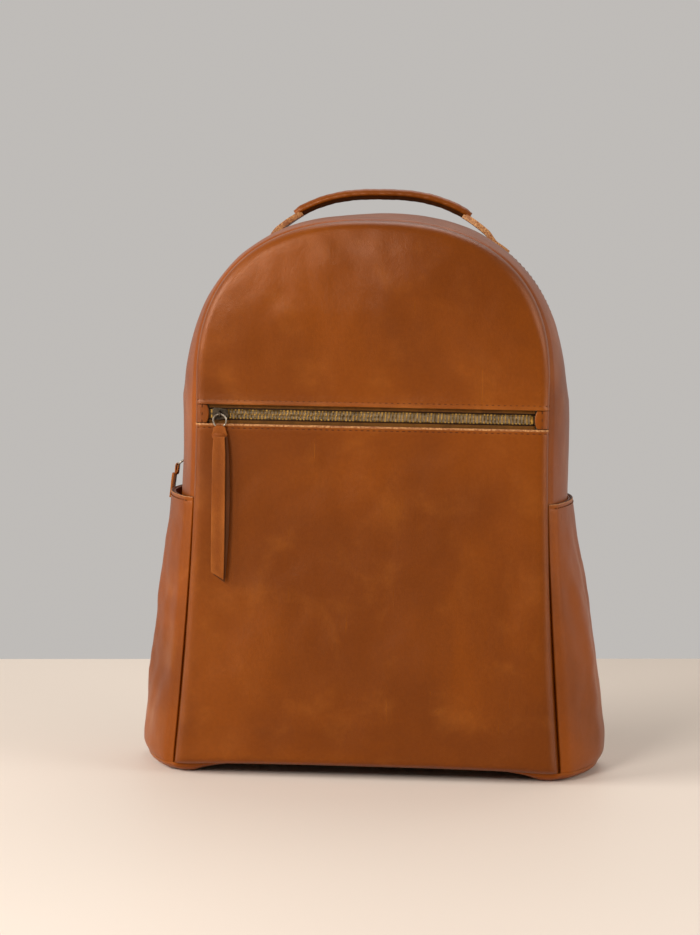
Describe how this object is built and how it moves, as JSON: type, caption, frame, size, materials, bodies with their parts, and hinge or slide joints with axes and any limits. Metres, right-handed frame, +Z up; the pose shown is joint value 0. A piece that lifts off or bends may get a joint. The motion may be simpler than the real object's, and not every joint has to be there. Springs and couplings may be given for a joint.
{
  "type": "leather backpack",
  "caption": "Arched tan leather backpack with a front zip pocket and long leather pull, side pockets, rolled grab handle, fold-open front and padded shoulder straps.",
  "frame": {"origin": "middle of the flat underside of the base", "axes": "+Z up, the front with its zip pocket faces -Y, +X to the right seen from the front"},
  "size_m": [0.337, 0.1965, 0.4201],
  "materials": {
    "leather": "waxed pull-up leather, satin",
    "side_leather": "waxed pull-up leather, satin",
    "pull_leather": "waxed leather thong",
    "lining": "cotton twill",
    "foam": "soft foam with a cloth face",
    "board": "pressed fibre board",
    "zip_tape": "woven herringbone tape",
    "zip_brass": "antique brass",
    "antique_metal": "dark antique brass",
    "webbing": "brown woven webbing"
  },
  "bodies": {
    "shell": {"back_panel": "leather", "back_padding": "foam", "back_lining": "lining", "laptop_sleeve": "lining", "strap_yoke": "leather", "rear_gusset": "side_leather", "rear_gusset_lining": "lining", "side_gusset_left": "side_leather", "side_gusset_right": "side_leather", "gusset_corner_left": "side_leather", "gusset_corner_right": "side_leather", "side_lining_left": "lining", "side_lining_right": "lining", "side_pocket_left": "side_leather", "side_pocket_right": "side_leather", "base_panel": "leather", "base_welt": "leather", "base_board": "board", "base_lining": "lining", "front_lower_panel": "leather", "front_lower_lining": "lining", "front_pocket_bag": "lining", "main_tape_rear": "zip_tape", "main_teeth_rear": "zip_brass", "main_zip_feet": "zip_tape", "handle_tab_left": "leather", "handle_tab_right": "leather", "base_tab_left": "leather", "base_tab_right": "leather", "webbing_left": "webbing", "webbing_right": "webbing"},
    "flap": {"front_upper_panel": "leather", "front_middle_panel": "leather", "front_gusset": "side_leather", "front_gusset_lining": "lining", "flap_lining": "lining", "front_pocket_throat": "lining", "front_tape_upper": "zip_tape", "front_tape_lower": "zip_tape", "front_teeth_upper": "zip_brass", "front_teeth_lower": "zip_brass", "front_zip_tab_left": "leather", "front_zip_tab_right": "leather", "main_tape_front": "zip_tape", "main_teeth_front": "zip_brass"},
    "front_slider": {"front_slider": "antique_metal"},
    "front_ring": {"front_pull_ring": "antique_metal"},
    "front_pull": {"front_pull_strap": "pull_leather"},
    "main_slider": {"main_slider": "antique_metal"},
    "main_ring": {"main_pull_ring": "antique_metal"},
    "main_pull": {"main_pull_strap": "pull_leather"},
    "handle": {"handle_strap": "leather", "handle_grip": "leather", "handle_core": "foam"},
    "strap_left": {"strap_left": "leather", "strap_pad_left": "foam"},
    "strap_right": {"strap_right": "leather", "strap_pad_right": "foam"},
    "adjuster_left": {"adjuster_left": "antique_metal"},
    "adjuster_right": {"adjuster_right": "antique_metal"}
  },
  "joints": [
    {"name": "flap_open", "type": "hinge", "parent": "shell", "child": "flap", "pos_m": [0, -0.071, 0.23], "axis": [1, 0, 0], "range_deg": [0, 35]},
    {"name": "front_slider_slide", "type": "slide", "parent": "flap", "child": "front_slider", "axis": [1, 0, 0], "range_m": [0, 0.206]},
    {"name": "front_ring_tilt", "type": "hinge", "parent": "front_slider", "child": "front_ring", "pos_m": [-0.106, -0.07365, 0.2565], "axis": [1, 0, 0], "range_deg": [-35, 0]},
    {"name": "front_pull_lift", "type": "hinge", "parent": "front_ring", "child": "front_pull", "pos_m": [-0.106, -0.07365, 0.2473], "axis": [-1, 0, 0], "range_deg": [0, 75]},
    {"name": "main_slider_slide", "type": "slide", "parent": "shell", "child": "main_slider", "axis": [0.0103, 0, 0.9999], "range_m": [0, 0.042]},
    {"name": "main_ring_tilt", "type": "hinge", "parent": "main_slider", "child": "main_ring", "pos_m": [-0.14119, 0.023, 0.219], "axis": [0, 1, 0], "range_deg": [0, 40]},
    {"name": "main_pull_lift", "type": "hinge", "parent": "main_ring", "child": "main_pull", "pos_m": [-0.14844, 0.023, 0.21334], "axis": [0, 1, 0], "range_deg": [0, 90]},
    {"name": "handle_swing", "type": "hinge", "parent": "shell", "child": "handle", "pos_m": [0, 0.05, 0.3876], "axis": [1, 0, 0], "range_deg": [-40, 40], "stiffness_Nm_per_rad": 0.05, "deforming": ["handle_strap"]},
    {"name": "strap_left_swing", "type": "hinge", "parent": "shell", "child": "strap_left", "pos_m": [0, 0.0696, 0.356], "axis": [1, 0, 0], "range_deg": [0, 20], "deforming": ["webbing_left"]},
    {"name": "adjuster_left_tilt", "type": "hinge", "parent": "strap_left", "child": "adjuster_left", "pos_m": [-0.084, 0.0741, 0.1291], "axis": [1, 0, 0], "range_deg": [0, 35]},
    {"name": "strap_right_swing", "type": "hinge", "parent": "shell", "child": "strap_right", "pos_m": [0, 0.0696, 0.356], "axis": [1, 0, 0], "range_deg": [0, 20], "deforming": ["webbing_right"]},
    {"name": "adjuster_right_tilt", "type": "hinge", "parent": "strap_right", "child": "adjuster_right", "pos_m": [0.084, 0.0741, 0.1291], "axis": [1, 0, 0], "range_deg": [0, 35]}
  ],
  "couplings": [
    {"joint": "front_ring_tilt", "follows": "flap_open", "ratio": -1}
  ]
}
